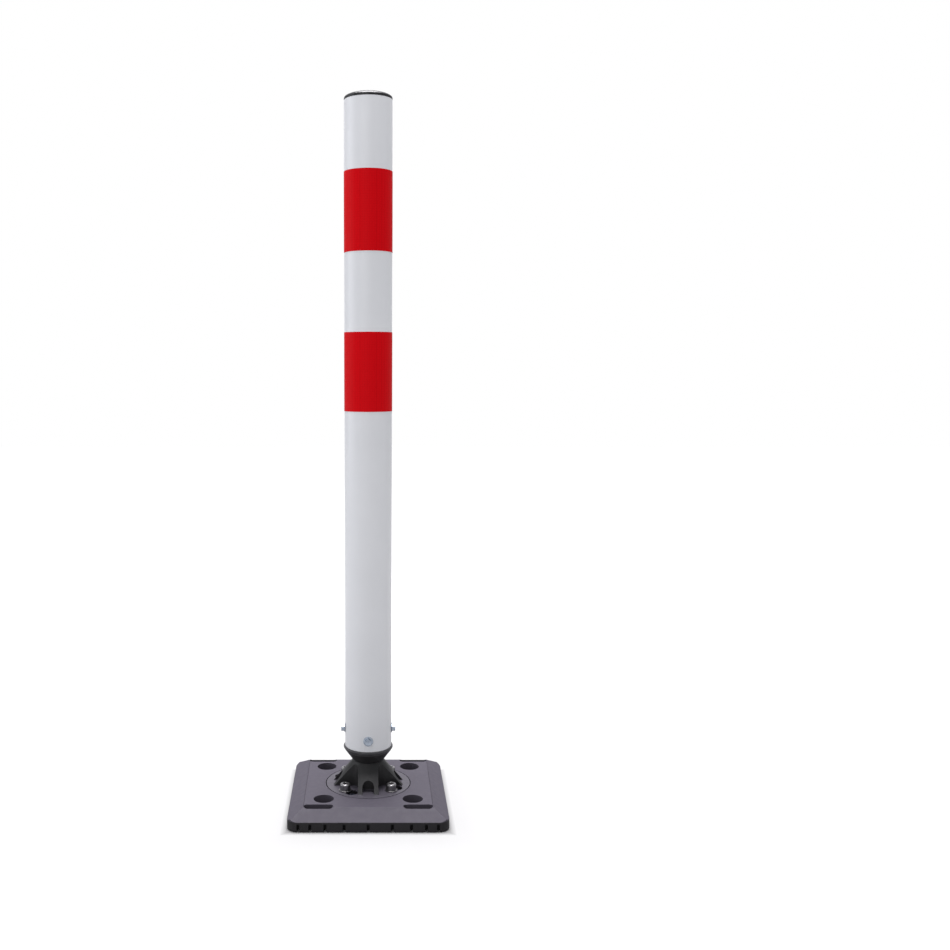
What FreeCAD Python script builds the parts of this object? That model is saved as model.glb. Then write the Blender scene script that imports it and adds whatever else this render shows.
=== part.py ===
import FreeCAD, Part
import math
import os
import re
import Sketcher

# Flexible delineator post: a tube on an elastomer neck and foot, on a bolt-down base plate.
# Millimetres, +Z up, origin at the middle of the plate's underside, front towards -Y.

V = FreeCAD.Vector
doc = FreeCAD.newDocument("delineator_post")

# ---------------------------------------------------------------- driving dimensions

SIZES = {
    # base plate
    "plate_length": 200.0,
    "plate_width": 200.0,
    "plate_height": 24.3,
    "plate_wall": 12.5,
    "bevel_run": 19.6,
    "corner_radius": 14.0,
    "bottom_edge": 1.2,
    # notches round the plate's wall: the gaps between them shrink by a constant ratio
    "notch_width": 3.6,
    "notch_depth": 8.0,
    "notch_height": 10.0,
    "notch_first_step": 29.5,
    "notch_ratio": 0.79,
    # ground anchor holes and slots
    "anchor_x": 56.0,
    "anchor_y": 55.0,
    "anchor_hole_radius": 7.0,
    "anchor_sink_radius": 12.75,
    "anchor_sink_depth": 14.0,
    "slot_x": 61.8,
    "slot_y": 77.6,
    "slot_length": 37.0,
    "slot_width": 10.0,
    # hollows in the plate's underside
    "cell_depth": 6.0,
    "cell_long": 66.0,
    "cell_short": 24.0,
    "cell_margin": 12.0,
    "hub_cell_radius": 20.0,
    # foot
    "flange_radius": 54.4,
    "flange_thickness": 8.0,
    "flange_gap": 1.0,
    "flange_land": 8.4,
    "pedestal_height": 31.9,
    "waist_radius": 19.8,
    "foot_cavity_radius": 15.0,
    "pedestal_roof": 10.0,
    "rib_width": 26.0,
    "rib_root_radius": 8.0,
    "niche_width": 15.0,
    "niche_height": 15.1,
    "niche_depth": 20.0,
    "ring_thickness": 3.0,
    "ring_inner_radius": 19.0,
    # keyholes in the flange: its wide ends, a turn anticlockwise from the bolts
    "keyhole_turn": 14.5,
    "keyhole_clearance": 0.3,
    # foot bolts, M8 socket cap screws
    "foot_bolt_x": 29.5,
    "foot_bolt_y": 28.5,
    "foot_bolt_radius": 4.0,
    "foot_bolt_clearance": 0.5,
    "foot_bolt_tip": 0.6,
    "bolt_head_radius": 6.5,
    "bolt_head_height": 8.0,
    "bolt_head_chamfer": 0.8,
    "bolt_socket_flats": 6.0,
    "bolt_socket_depth": 4.0,
    "foot_washer_radius": 8.0,
    "foot_washer_thickness": 1.6,
    "foot_nut_flats": 13.0,
    "foot_nut_height": 6.5,
    "nut_pocket_clearance": 0.3,
    "nut_pocket_depth": 8.0,
    # neck and its two stud plates, M12
    "neck_height": 13.6,
    "lower_disc_radius": 12.5,
    "upper_disc_radius": 18.0,
    "disc_thickness": 2.5,
    "bond_line": 0.1,
    "stud_radius": 6.0,
    "stud_clearance": 0.5,
    "stud_tip": 2.5,
    "stud_washer_radius": 12.0,
    "stud_washer_thickness": 2.5,
    "stud_nut_flats": 18.0,
    "stud_nut_height": 10.8,
    "thread_fit": 0.04,
    # tube adapter
    "lip_overhang": 2.0,
    "lip_cone_run": 2.1,
    "lip_cone_height": 3.2,
    "lip_edge_height": 1.6,
    "lip_chamfer": 0.4,
    "plug_depth": 40.0,
    "plug_floor": 13.2,
    "plug_bore_radius": 18.0,
    "plug_clearance": 0.3,
    "plug_lead_in": 1.5,
    # tube and film bands
    "tube_radius": 30.0,
    "tube_wall": 2.0,
    "tube_length": 816.0,
    "band_thickness": 0.3,
    "band_height": 98.4,
    "band_gap": 98.2,
    "band_from_rim": 86.1,
    "film_fit": 0.02,
    # end cap
    "cap_height": 9.0,
    "cap_edge_height": 2.0,
    "cap_spigot_depth": 20.0,
    "cap_spigot_wall": 2.5,
    "cap_spigot_clearance": 0.5,
    "cap_spigot_chamfer": 1.0,
    "cap_barb": 0.46,
    "cap_barb_height": 3.0,
    # tube screws, 5.5 mm self-drilling with a hex washer head
    "side_screw_above_lip": 22.9,
    "front_screw_above_lip": 14.6,
    "screw_radius": 2.75,
    "screw_length": 16.0,
    "screw_point": 4.0,
    "screw_flange_radius": 6.3,
    "screw_flange_thickness": 1.0,
    "screw_flats": 8.0,
    "screw_head_height": 4.2,
    "screw_pilot_fit": 0.02,
    "screw_hole_clearance": 0.25,
}

# places that follow from the sizes, worked out from the ground upwards
PLACES = {
    "flange_floor": "plate_height - flange_thickness",
    "waist_z": "plate_height + pedestal_height",
    "neck_top_z": "waist_z + neck_height",
    "lip_z": "neck_top_z + lip_cone_height",
    "tube_foot_z": "lip_z + lip_edge_height + lip_chamfer",
    "rim_z": "tube_foot_z + tube_length",
    "roof_z": "waist_z - pedestal_roof",
    "tube_bore_radius": "tube_radius - tube_wall",
    "plug_radius": "tube_bore_radius - plug_clearance",
    "plug_top_z": "tube_foot_z + plug_depth",
    "plug_floor_z": "neck_top_z + plug_floor",
    "pedestal_radius": "flange_radius - flange_land",
    "foot_bolt_reach": "sqrt(foot_bolt_x ^ 2 + foot_bolt_y ^ 2)",
    "keyhole_radius": "foot_washer_radius + keyhole_clearance",
    "keyhole_throat": "foot_bolt_hole_radius / foot_bolt_reach",
    "lip_radius": "tube_radius + lip_overhang",
    "neck_top_radius": "lip_radius - lip_cone_run",
    "stud_hole_radius": "stud_radius + stud_clearance",
    "foot_nut_z": "nut_pocket_depth - foot_nut_height",
    "bolt_seat_z": "plate_height + foot_washer_thickness",
    "foot_bolt_length": "bolt_seat_z - foot_nut_z + foot_bolt_tip",
    "foot_bolt_hole_radius": "foot_bolt_radius + foot_bolt_clearance",
}

sheet = doc.addObject("Spreadsheet::Sheet", "sizes")
for row, (alias, number) in enumerate(SIZES.items(), start=1):
    sheet.set(f"A{row}", alias)
    sheet.set(f"B{row}", str(number))
    sheet.setAlias(f"B{row}", alias)
doc.recompute()


def linked(expression):
    """Spell a formula in the sheet's words as one that FreeCAD can bind."""

    def replace(match):
        word = match.group(0)
        if word in PLACES:
            return "(" + linked(PLACES[word]) + ")"
        return "sizes." + word if word in SIZES else word

    return re.sub(r"[a-z][a-z_]*", replace, str(expression))


def bind(thing, **formulas):
    """Bind properties to formulas; a double underscore in a name stands for a dot."""
    for name, formula in formulas.items():
        thing.setExpression(name.replace("__", "."), linked(formula))
    return thing


# ---------------------------------------------------------------- sketches and features


def new_body(label):
    """One sub-part made of sketched features."""
    body = doc.addObject("PartDesign::Body", label)
    body.Label = label
    return body


def origin_feature(body, role):
    return next(item for item in body.Origin.OriginFeatures if item.Role == role)


def worth(thing, formula):
    return float(thing.evalExpression(linked(formula)))


def new_sketch(body, name, plane="XY_Plane", offset="0"):
    """A sketch on one of the body's own origin planes, moved along that plane's normal."""
    sketch = body.newObject("Sketcher::SketchObject", f"{body.Name}_{name}")
    sketch.AttachmentSupport = [(origin_feature(body, plane), "")]
    sketch.MapMode = "FlatFace"
    bind(sketch, AttachmentOffset__Base__z=offset)
    return sketch


def hold(sketch, kind, *where, formula):
    """Add one constraint and bind its value."""
    index = sketch.addConstraint(Sketcher.Constraint(kind, *where, worth(sketch, formula)))
    sketch.setExpression(f"Constraints[{index}]", linked(formula))


def hold_point(sketch, line, end, point):
    hold(sketch, "DistanceX", -1, 1, line, end, formula=point[0])
    hold(sketch, "DistanceY", -1, 1, line, end, formula=point[1])


def outline(sketch, points):
    """A closed outline of straight lines through points given as pairs of formulas."""
    places = [V(worth(sketch, x), worth(sketch, y), 0) for x, y in points]
    lines = []
    for start, end in zip(places, places[1:] + places[:1]):
        lines.append(sketch.addGeometry(Part.LineSegment(start, end)))
    for line, following in zip(lines, lines[1:] + lines[:1]):
        sketch.addConstraint(Sketcher.Constraint("Coincident", line, 2, following, 1))
    for line, point in zip(lines, points):
        hold_point(sketch, line, 1, point)


def box_outline(sketch, x, y, width, height):
    """A rectangle of the given width and height centred on x, y."""
    left, right = f"({x}) - ({width}) / 2", f"({x}) + ({width}) / 2"
    low, high = f"({y}) - ({height}) / 2", f"({y}) + ({height}) / 2"
    outline(sketch, [(left, low), (right, low), (right, high), (left, high)])


def ring(sketch, x, y, radius):
    """A circle."""
    middle = V(worth(sketch, x), worth(sketch, y), 0)
    circle = sketch.addGeometry(Part.Circle(middle, V(0, 0, 1), worth(sketch, radius)))
    hold_point(sketch, circle, 3, (x, y))
    hold(sketch, "Radius", circle, formula=radius)


def hexagon(sketch, x, y, flats):
    """A regular hexagon of the given width across flats, two flats facing +Y and -Y."""
    points = []
    for corner in range(6):
        turn = f"{60 * corner} deg"
        reach = f"({flats}) / sqrt(3)"
        points.append((f"({x}) + {reach} * cos({turn})", f"({y}) + {reach} * sin({turn})"))
    outline(sketch, points)


def arc_end(sketch, x, y, radius, low_turn, high_turn):
    """A circular arc about x, y between two angles in degrees."""
    middle = V(worth(sketch, x), worth(sketch, y), 0)
    circle = Part.Circle(middle, V(0, 0, 1), worth(sketch, radius))
    arc = Part.ArcOfCircle(circle, math.radians(low_turn), math.radians(high_turn))
    return sketch.addGeometry(arc)


def slot(sketch, x, y, length, width):
    """A slot along the sketch's X, its ends round."""
    half = f"({length} - {width}) / 2"
    right = arc_end(sketch, f"{x} + {half}", y, f"{width} / 2", -90, 90)
    left = arc_end(sketch, f"{x} - {half}", y, f"{width} / 2", 90, 270)
    for arc, middle in ((right, f"{x} + {half}"), (left, f"{x} - {half}")):
        hold_point(sketch, arc, 3, (middle, y))
        hold(sketch, "Radius", arc, formula=f"{width} / 2")
    top_y, low_y = f"{y} + {width} / 2", f"{y} - {width} / 2"
    for start_arc, end_arc, side_y in ((right, left, top_y), (left, right, low_y)):
        start_x = f"{x} + {half}" if start_arc == right else f"{x} - {half}"
        end_x = f"{x} - {half}" if start_arc == right else f"{x} + {half}"
        start = V(worth(sketch, start_x), worth(sketch, side_y), 0)
        end = V(worth(sketch, end_x), worth(sketch, side_y), 0)
        line = sketch.addGeometry(Part.LineSegment(start, end))
        sketch.addConstraint(Sketcher.Constraint("Tangent", start_arc, 2, line, 1))
        sketch.addConstraint(Sketcher.Constraint("Tangent", line, 2, end_arc, 1))


def arch(sketch, width, foot, height):
    """An arch: upright sides from foot, with a half-round top that ends height above foot."""
    spring = f"{foot} + {height} - {width} / 2"
    top = arc_end(sketch, "0", spring, f"{width} / 2", 0, 180)
    hold_point(sketch, top, 3, ("0", spring))
    hold(sketch, "Radius", top, formula=f"{width} / 2")
    right, left = f"{width} / 2", f"-{width} / 2"
    corners = [(left, spring), (left, foot), (right, foot), (right, spring)]
    places = [V(worth(sketch, x), worth(sketch, y), 0) for x, y in corners]
    lines = []
    for start, end in zip(places, places[1:]):
        lines.append(sketch.addGeometry(Part.LineSegment(start, end)))
    sketch.addConstraint(Sketcher.Constraint("Tangent", top, 2, lines[0], 1))
    sketch.addConstraint(Sketcher.Constraint("Coincident", lines[0], 2, lines[1], 1))
    sketch.addConstraint(Sketcher.Constraint("Coincident", lines[1], 2, lines[2], 1))
    sketch.addConstraint(Sketcher.Constraint("Tangent", lines[2], 2, top, 1))
    hold_point(sketch, lines[1], 1, corners[1])
    hold_point(sketch, lines[1], 2, corners[2])


def corner_outline(sketch, inner, outer, radius):
    """A square between inner and outer on both axes, its innermost corner round."""
    middle = f"{inner} + {radius}"
    root = arc_end(sketch, middle, middle, radius, 180, 270)
    hold_point(sketch, root, 3, (middle, middle))
    hold(sketch, "Radius", root, formula=radius)
    corners = [(middle, inner), (outer, inner), (outer, outer), (inner, outer), (inner, middle)]
    places = [V(worth(sketch, x), worth(sketch, y), 0) for x, y in corners]
    lines = []
    for start, end in zip(places, places[1:]):
        lines.append(sketch.addGeometry(Part.LineSegment(start, end)))
    sketch.addConstraint(Sketcher.Constraint("Tangent", root, 2, lines[0], 1))
    for line, following in zip(lines, lines[1:]):
        sketch.addConstraint(Sketcher.Constraint("Coincident", line, 2, following, 1))
    sketch.addConstraint(Sketcher.Constraint("Tangent", lines[3], 2, root, 1))
    for line, corner in zip(lines[1:], corners[1:]):
        hold_point(sketch, line, 1, corner)


def pad(body, sketch, length):
    feature = body.newObject("PartDesign::Pad", f"{sketch.Name}_pad")
    feature.Profile = sketch
    return bind(feature, Length=length)


def pocket(body, sketch, length, upward=False, both_ways=False):
    """Cut a sketch away, against its normal unless upward."""
    feature = body.newObject("PartDesign::Pocket", f"{sketch.Name}_cut")
    feature.Profile = sketch
    feature.Reversed = upward
    feature.Midplane = both_ways
    return bind(feature, Length=length)


def revolve(body, points):
    """A solid of revolution about Z from an outline of (radius, height) formulas."""
    sketch = new_sketch(body, "section", "XZ_Plane")
    outline(sketch, points)
    feature = body.newObject("PartDesign::Revolution", f"{body.Name}_revolution")
    feature.Profile = sketch
    feature.ReferenceAxis = (origin_feature(body, "Z_Axis"), [""])
    feature.Angle = 360.0
    return feature


def mirror(body, feature, plane):
    copy = body.newObject("PartDesign::Mirrored", f"{feature.Name}_mirror")
    copy.Originals = [feature]
    copy.MirrorPlane = (origin_feature(body, plane), [""])
    body.Tip = copy
    return copy


def quarter_turns(body, feature):
    """Repeat a feature at every quarter turn about Z."""
    copies = body.newObject("PartDesign::PolarPattern", f"{feature.Name}_pattern")
    copies.Originals = [feature]
    copies.Axis = (origin_feature(body, "Z_Axis"), [""])
    copies.Angle = 360.0
    copies.Occurrences = 4
    body.Tip = copies
    return copies


def soften(body, name, kind, picked, length):
    """Round or chamfer the edges of the body's present shape that picked() accepts."""
    doc.recompute()
    base = body.Tip
    edges = []
    for number, edge in enumerate(base.Shape.Edges, start=1):
        if picked(edge):
            edges.append(f"Edge{number}")
    feature = body.newObject(f"PartDesign::{kind}", f"{body.Name}_{name}")
    feature.Base = (base, edges)
    size_name = "Radius" if kind == "Fillet" else "Size"
    return bind(feature, **{size_name: length})


CORNERS = [(-1, -1), (1, -1), (-1, 1), (1, 1)]
CORNER_NAMES = {
    (-1, -1): "front_left",
    (1, -1): "front_right",
    (-1, 1): "rear_left",
    (1, 1): "rear_right",
}

sub_parts = []


# ---------------------------------------------------------------- base plate

NOTCHES_PER_SIDE = 4


def edge_notches(body, wall, plane, far):
    """A row of upright notches in one wall and in the wall opposite it."""
    sketch = new_sketch(body, f"{wall}_notches", plane, far)
    for step in range(-NOTCHES_PER_SIDE, NOTCHES_PER_SIDE + 1):
        shrink = f"(1 - notch_ratio ^ {abs(step)}) / (1 - notch_ratio)"
        reach = f"{(step > 0) - (step < 0)} * notch_first_step * {shrink}"
        box_outline(sketch, reach, "notch_height / 2", "notch_width", "notch_height")
    cut = pocket(body, sketch, "notch_depth")
    mirror(body, cut, plane)


def make_base_plate():
    """Moulded plate: bevelled on four sides, drained by notches, hollowed underneath."""
    body = new_body("base_plate")
    blank = new_sketch(body, "blank")
    box_outline(blank, "0", "0", "plate_length", "plate_width")
    pad(body, blank, "plate_height")
    soften(body, "corners", "Fillet", upright_edge, "corner_radius")

    for wall, plane, across, along in (
        ("side", "XZ_Plane", "plate_length", "plate_width"),
        ("end", "YZ_Plane", "plate_width", "plate_length"),
    ):
        bevel = new_sketch(body, f"{wall}_bevels", plane)
        for hand in ("", "-"):
            inner = f"{hand}({across} / 2 - bevel_run)"
            edge = f"{hand}({across} / 2)"
            outer = f"{hand}({across} / 2 + bevel_run)"
            above = "plate_height + bevel_run"
            outline(
                bevel,
                [
                    (edge, "plate_wall"),
                    (outer, "plate_wall"),
                    (outer, above),
                    (inner, above),
                    (inner, "plate_height"),
                ],
            )
        pocket(body, bevel, f"2 * {along}", both_ways=True)
    soften(body, "bottom", "Chamfer", bottom_edge, "bottom_edge")

    recess = new_sketch(body, "foot_recess", offset="plate_height")
    ring(recess, "0", "0", "flange_radius + flange_gap")
    pocket(body, recess, "flange_thickness")

    sinks = new_sketch(body, "anchor_sinks", offset="plate_height")
    holes = new_sketch(body, "anchor_holes", offset="plate_height")
    slots = new_sketch(body, "slots", offset="plate_height")
    bolt_holes = new_sketch(body, "bolt_holes", offset="plate_height")
    nut_pockets = new_sketch(body, "nut_pockets")
    for x_side, y_side in CORNERS:
        anchor = (f"{x_side} * anchor_x", f"{y_side} * anchor_y")
        bolt = (f"{x_side} * foot_bolt_x", f"{y_side} * foot_bolt_y")
        ring(sinks, *anchor, "anchor_sink_radius")
        ring(holes, *anchor, "anchor_hole_radius")
        slot(slots, f"{x_side} * slot_x", f"{y_side} * slot_y", "slot_length", "slot_width")
        ring(bolt_holes, *bolt, "foot_bolt_hole_radius")
        hexagon(nut_pockets, *bolt, "foot_nut_flats + 2 * nut_pocket_clearance")
    pocket(body, sinks, "anchor_sink_depth")
    for through in (holes, slots, bolt_holes):
        pocket(body, through, "plate_height")
    pocket(body, nut_pockets, "nut_pocket_depth", upward=True)

    cells = new_sketch(body, "cells")
    for side in ("", "-"):
        inset = "(cell_margin + cell_short / 2)"
        box_outline(cells, "0", f"{side}(plate_width / 2 - {inset})", "cell_long", "cell_short")
        box_outline(cells, f"{side}(plate_length / 2 - {inset})", "0", "cell_short", "cell_long")
    ring(cells, "0", "0", "hub_cell_radius")
    pocket(body, cells, "cell_depth", upward=True)

    edge_notches(body, "front", "XZ_Plane", "plate_width / 2")
    edge_notches(body, "side", "YZ_Plane", "plate_length / 2")
    return body


def upright_edge(edge):
    low, high = (vertex.Point for vertex in edge.Vertexes)
    return abs(low.x - high.x) + abs(low.y - high.y) < 1e-6


def bottom_edge(edge):
    return edge.BoundBox.ZMax < 1e-6


sub_parts.append(make_base_plate())


# ---------------------------------------------------------------- foot


def cut_keyholes(body, level, depth):
    """Cut the four keyholes: a bolt hole, a wide end and the throat that joins them."""
    bolt_ends = new_sketch(body, "bolt_ends", offset=level)
    wide_ends = new_sketch(body, "wide_ends", offset=level)
    throats = new_sketch(body, "throats", offset=level)
    cos, sin = "cos(keyhole_turn * 1 deg)", "sin(keyhole_turn * 1 deg)"
    for x_side, y_side in CORNERS:
        x, y = f"{x_side} * foot_bolt_x", f"{y_side} * foot_bolt_y"
        key_x = f"({x} * {cos} - {y} * {sin})"
        key_y = f"({x} * {sin} + {y} * {cos})"
        ring(bolt_ends, x, y, "foot_bolt_hole_radius")
        ring(wide_ends, key_x, key_y, "keyhole_radius")
        inward, outward = "(1 - keyhole_throat)", "(1 + keyhole_throat)"
        outline(
            throats,
            [
                (f"{x} * {inward}", f"{y} * {inward}"),
                (f"{x} * {outward}", f"{y} * {outward}"),
                (f"{key_x} * {outward}", f"{key_y} * {outward}"),
                (f"{key_x} * {inward}", f"{key_y} * {inward}"),
            ],
        )
    for sketch in (bolt_ends, wide_ends, throats):
        pocket(body, sketch, depth)


def make_flex_foot():
    """Elastomer foot: flange in the plate's recess, and a hollow pedestal with four ribs."""
    body = new_body("flex_foot")
    revolve(
        body,
        [
            ("ring_inner_radius - bond_line", "flange_floor"),
            ("foot_cavity_radius", "flange_floor"),
            ("foot_cavity_radius", "roof_z"),
            ("stud_hole_radius", "roof_z"),
            ("stud_hole_radius", "waist_z"),
            ("waist_radius", "waist_z"),
            ("pedestal_radius", "plate_height"),
            ("flange_radius", "plate_height"),
            ("flange_radius", "flange_floor + ring_thickness"),
            ("ring_inner_radius - bond_line", "flange_floor + ring_thickness"),
        ],
    )
    corner = new_sketch(body, "corner", offset="plate_height")
    corner_outline(corner, "rib_width / 2", "flange_radius", "rib_root_radius")
    quarter_turns(body, pocket(body, corner, "pedestal_height", upward=True))
    cut_keyholes(body, "plate_height", "flange_thickness")
    niche = new_sketch(body, "niche", "XZ_Plane", "pedestal_radius")
    arch(niche, "niche_width", "plate_height", "niche_height")
    quarter_turns(body, pocket(body, niche, "niche_depth"))
    return body


def make_backing_ring():
    """Steel ring, as wide as the foot's flange, bonded to its underside."""
    body = new_body("foot_backing_ring")
    sketch = new_sketch(body, "ring", offset="flange_floor")
    ring(sketch, "0", "0", "flange_radius")
    ring(sketch, "0", "0", "ring_inner_radius")
    pad(body, sketch, "ring_thickness")
    cut_keyholes(body, "flange_floor + ring_thickness", "ring_thickness")
    return body


sub_parts.append(make_flex_foot())
sub_parts.append(make_backing_ring())


# ---------------------------------------------------------------- fasteners


def primitive(kind, name, place=None, **formulas):
    """One of Part's own solids, bound to the sheet, at a height given by place."""
    solid = doc.addObject(f"Part::{kind}", name)
    bind(solid, **formulas)
    if place is not None:
        bind(solid, Placement__Base__z=place)
    return solid


def joined(name, *solids):
    fused = doc.addObject("Part::MultiFuse", name)
    fused.Shapes = list(solids)
    return fused


def cut(name, base, tool):
    result = doc.addObject("Part::Cut", name)
    result.Base = base
    result.Tool = tool
    return result


def hex_bar(name, flats, height, place="0"):
    bar = doc.addObject("Part::Prism", name)
    bar.Polygon = 6
    return bind(bar, Circumradius=f"{flats} / sqrt(3)", Height=height, Placement__Base__z=place)


def put(label, solid, x="0", y="0", z="0"):
    """Name a finished fastener and bind where it stands."""
    solid.Label = label
    bind(solid, Placement__Base__x=x, Placement__Base__y=y, Placement__Base__z=z)
    sub_parts.append(solid)
    return solid


def washer(name, outer, hole, thickness):
    disc = primitive("Cylinder", f"{name}_disc", Radius=outer, Height=thickness)
    bore = primitive("Cylinder", f"{name}_bore", Radius=hole, Height=thickness)
    return cut(name, disc, bore)


def nut(name, flats, hole, height):
    """A hex nut whose corners are turned off at both ends."""
    bar = hex_bar(f"{name}_bar", flats, height)
    turned = joined(
        f"{name}_turned",
        primitive(
            "Cone", f"{name}_low", Radius1=f"{flats} / 2", Height=f"{height} / 2",
            Radius2=f"{flats} / 2 + {height} / 2 * sqrt(3)",
        ),
        primitive(
            "Cone", f"{name}_high", f"{height} / 2", Radius2=f"{flats} / 2",
            Height=f"{height} / 2", Radius1=f"{flats} / 2 + {height} / 2 * sqrt(3)",
        ),
    )
    common = doc.addObject("Part::Common", f"{name}_blank")
    common.Base = bar
    common.Tool = turned
    bore = primitive("Cylinder", f"{name}_bore", Radius=hole, Height=height)
    return cut(name, common, bore)


def cap_bolt(name):
    """Socket cap screw: its head's underside is at zero and its shank hangs below."""
    side = "(bolt_head_height - bolt_head_chamfer)"
    head = primitive("Cylinder", f"{name}_head", Radius="bolt_head_radius", Height=side)
    top = primitive(
        "Cone", f"{name}_top", side, Radius1="bolt_head_radius",
        Radius2="bolt_head_radius - bolt_head_chamfer", Height="bolt_head_chamfer",
    )
    shank = primitive(
        "Cylinder", f"{name}_shank", "-foot_bolt_length",
        Radius="foot_bolt_radius", Height="foot_bolt_length + bolt_head_chamfer",
    )
    socket = hex_bar(
        f"{name}_socket", "bolt_socket_flats", "bolt_head_height",
        "bolt_head_height - bolt_socket_depth",
    )
    return cut(name, joined(f"{name}_blank", head, top, shank), socket)


for corner in CORNERS:
    place = CORNER_NAMES[corner]
    x, y = f"{corner[0]} * foot_bolt_x", f"{corner[1]} * foot_bolt_y"
    thread = "foot_bolt_radius + thread_fit"
    hole = "foot_bolt_hole_radius"
    put(f"foot_bolt_{place}", cap_bolt(f"bolt_{place}"), x, y, "bolt_seat_z")
    ring_name = f"washer_{place}"
    flat = washer(ring_name, "foot_washer_radius", hole, "foot_washer_thickness")
    put(f"foot_washer_{place}", flat, x, y, "plate_height")
    hex_nut = nut(f"nut_{place}", "foot_nut_flats", thread, "foot_nut_height")
    put(f"foot_nut_{place}", hex_nut, x, y, "foot_nut_z")


# ---------------------------------------------------------------- neck


def make_flex_neck():
    """Elastomer cone, moulded onto a steel stud plate at each end."""
    body = new_body("flex_neck")
    revolve(
        body,
        [
            ("0", "waist_z + disc_thickness"),
            ("lower_disc_radius + bond_line", "waist_z + disc_thickness"),
            ("lower_disc_radius + bond_line", "waist_z"),
            ("waist_radius", "waist_z"),
            ("neck_top_radius", "neck_top_z"),
            ("upper_disc_radius + bond_line", "neck_top_z"),
            ("upper_disc_radius + bond_line", "neck_top_z - disc_thickness"),
            ("0", "neck_top_z - disc_thickness"),
        ],
    )
    return body


def stud_plate(name, disc_radius, stud_length, points_up):
    """A round plate with a threaded stud welded to its middle; the plate starts at zero."""
    disc = primitive("Cylinder", f"{name}_disc", Radius=disc_radius, Height="disc_thickness")
    start = "0" if points_up else f"-({stud_length})"
    reach = f"{stud_length} + disc_thickness"
    stud = primitive("Cylinder", f"{name}_stud", start, Radius="stud_radius", Height=reach)
    return joined(name, disc, stud)


sub_parts.append(make_flex_neck())

lower_grip = "pedestal_roof + stud_washer_thickness + stud_nut_height + stud_tip"
upper_grip = "plug_floor + stud_washer_thickness + stud_nut_height + stud_tip"
lower_stud = stud_plate("lower_stud", "lower_disc_radius", lower_grip, points_up=False)
upper_stud = stud_plate("upper_stud", "upper_disc_radius", upper_grip, points_up=True)
put("lower_stud_plate", lower_stud, z="waist_z")
put("upper_stud_plate", upper_stud, z="neck_top_z - disc_thickness")

stud_thread = "stud_radius + thread_fit"
for end, washer_z, nut_z in (
    (
        "lower",
        "roof_z - stud_washer_thickness",
        "roof_z - stud_washer_thickness - stud_nut_height",
    ),
    ("upper", "plug_floor_z", "plug_floor_z + stud_washer_thickness"),
):
    flat = washer(f"{end}_flat", "stud_washer_radius", "stud_hole_radius", "stud_washer_thickness")
    put(f"{end}_stud_washer", flat, z=washer_z)
    hex_nut = nut(f"{end}_hex", "stud_nut_flats", stud_thread, "stud_nut_height")
    put(f"{end}_stud_nut", hex_nut, z=nut_z)


# ---------------------------------------------------------------- tube and what is on it

SCREWS = {
    "front": (0, -1, "front_screw_above_lip"),
    "back": (0, 1, "front_screw_above_lip"),
    "left": (-1, 0, "side_screw_above_lip"),
    "right": (1, 0, "side_screw_above_lip"),
}


def drill_screw_holes(body, radius):
    """Cut the four screws' holes through a body's wall."""
    for plane, height in (("XZ_Plane", "front"), ("YZ_Plane", "side")):
        sketch = new_sketch(body, f"{height}_holes", plane)
        ring(sketch, "0", f"tube_foot_z + {height}_screw_above_lip", radius)
        pocket(body, sketch, "3 * tube_radius", both_ways=True)


def make_tube_plug():
    """Rigid adapter: a flared lip under the tube, and a spigot that the screws bite into."""
    body = new_body("tube_plug")
    revolve(
        body,
        [
            ("stud_hole_radius", "neck_top_z"),
            ("neck_top_radius", "neck_top_z"),
            ("lip_radius", "lip_z"),
            ("lip_radius", "lip_z + lip_edge_height"),
            ("lip_radius - lip_chamfer", "tube_foot_z"),
            ("plug_radius", "tube_foot_z"),
            ("plug_radius", "plug_top_z - plug_lead_in"),
            ("plug_radius - plug_lead_in", "plug_top_z"),
            ("plug_bore_radius", "plug_top_z"),
            ("plug_bore_radius", "plug_floor_z"),
            ("stud_hole_radius", "plug_floor_z"),
        ],
    )
    drill_screw_holes(body, "screw_radius + screw_pilot_fit")
    return body


def make_post_tube():
    """Round steel tube standing on the adapter's lip."""
    body = new_body("post_tube")
    section = new_sketch(body, "section", offset="tube_foot_z")
    ring(section, "0", "0", "tube_radius")
    ring(section, "0", "0", "tube_bore_radius")
    pad(body, section, "tube_length")
    drill_screw_holes(body, "screw_radius + screw_hole_clearance")
    return body


def make_band(label, top):
    """A sleeve of reflective film stuck round the tube."""
    body = new_body(label)
    section = new_sketch(body, "section", offset=f"{top} - band_height")
    ring(section, "0", "0", "tube_radius + film_fit + band_thickness")
    ring(section, "0", "0", "tube_radius + film_fit")
    pad(body, section, "band_height")
    return body


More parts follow.
